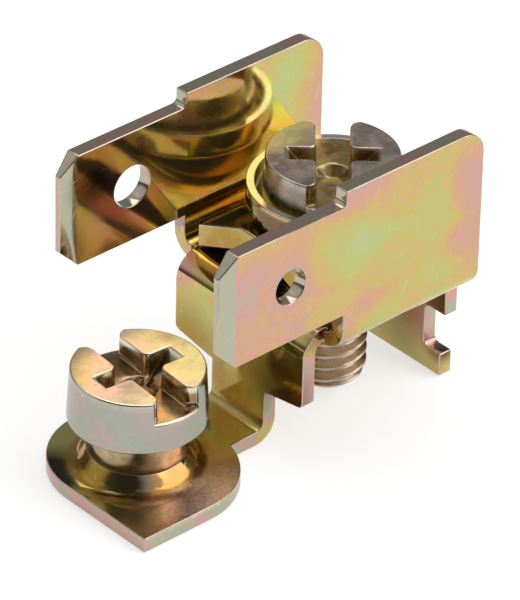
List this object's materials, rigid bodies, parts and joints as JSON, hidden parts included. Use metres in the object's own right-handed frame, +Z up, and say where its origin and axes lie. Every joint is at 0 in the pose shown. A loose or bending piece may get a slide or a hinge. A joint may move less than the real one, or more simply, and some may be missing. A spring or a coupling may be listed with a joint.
{
  "type": "earth terminal",
  "caption": "Folded sheet steel earth terminal with blade tabs, a screw clamp between upright plates, an earth screw in a rounded tongue and a hooked leg.",
  "frame": {"origin": "middle of the outline seen from above, on the plane that the tongue and the leg stand on", "axes": "+X along the plates away from the blade tips, +Y to the back plate, +Z up along both screws"},
  "size_m": [0.022, 0.0124, 0.0163],
  "materials": {
    "plated_sheet": "zinc plated, yellow iridescent chromate, glossy",
    "plated_clamp": "zinc plated, yellow iridescent chromate, glossy",
    "plated_screw": "zinc plated, pale yellow iridescent chromate, glossy"
  },
  "bodies": {
    "terminal": {"terminal_body": "plated_sheet"},
    "clamp": {"clamp_bridge": "plated_clamp", "cup_washer": "plated_clamp"},
    "clamp_screw": {"clamp_screw": "plated_screw"},
    "earth_screw": {"earth_screw": "plated_screw"}
  },
  "joints": [
    {"name": "clamp_lift", "type": "slide", "parent": "terminal", "child": "clamp", "axis": [0, 0, 1], "range_m": [0, 0.005]},
    {"name": "clamp_screw_turn", "type": "hinge", "parent": "clamp", "child": "clamp_screw", "pos_m": [0.00553, 0, 0.0105], "axis": [0, 0, 1], "range_deg": [0, 2571.43]},
    {"name": "earth_screw_turn", "type": "hinge", "parent": "terminal", "child": "earth_screw", "pos_m": [-0.00698, 0, 0.003], "axis": [0, 0, 1], "range_deg": [0, 720]}
  ],
  "couplings": [
    {"joint": "clamp_screw_turn", "follows": "clamp_lift", "rad_per_m": 8976}
  ]
}
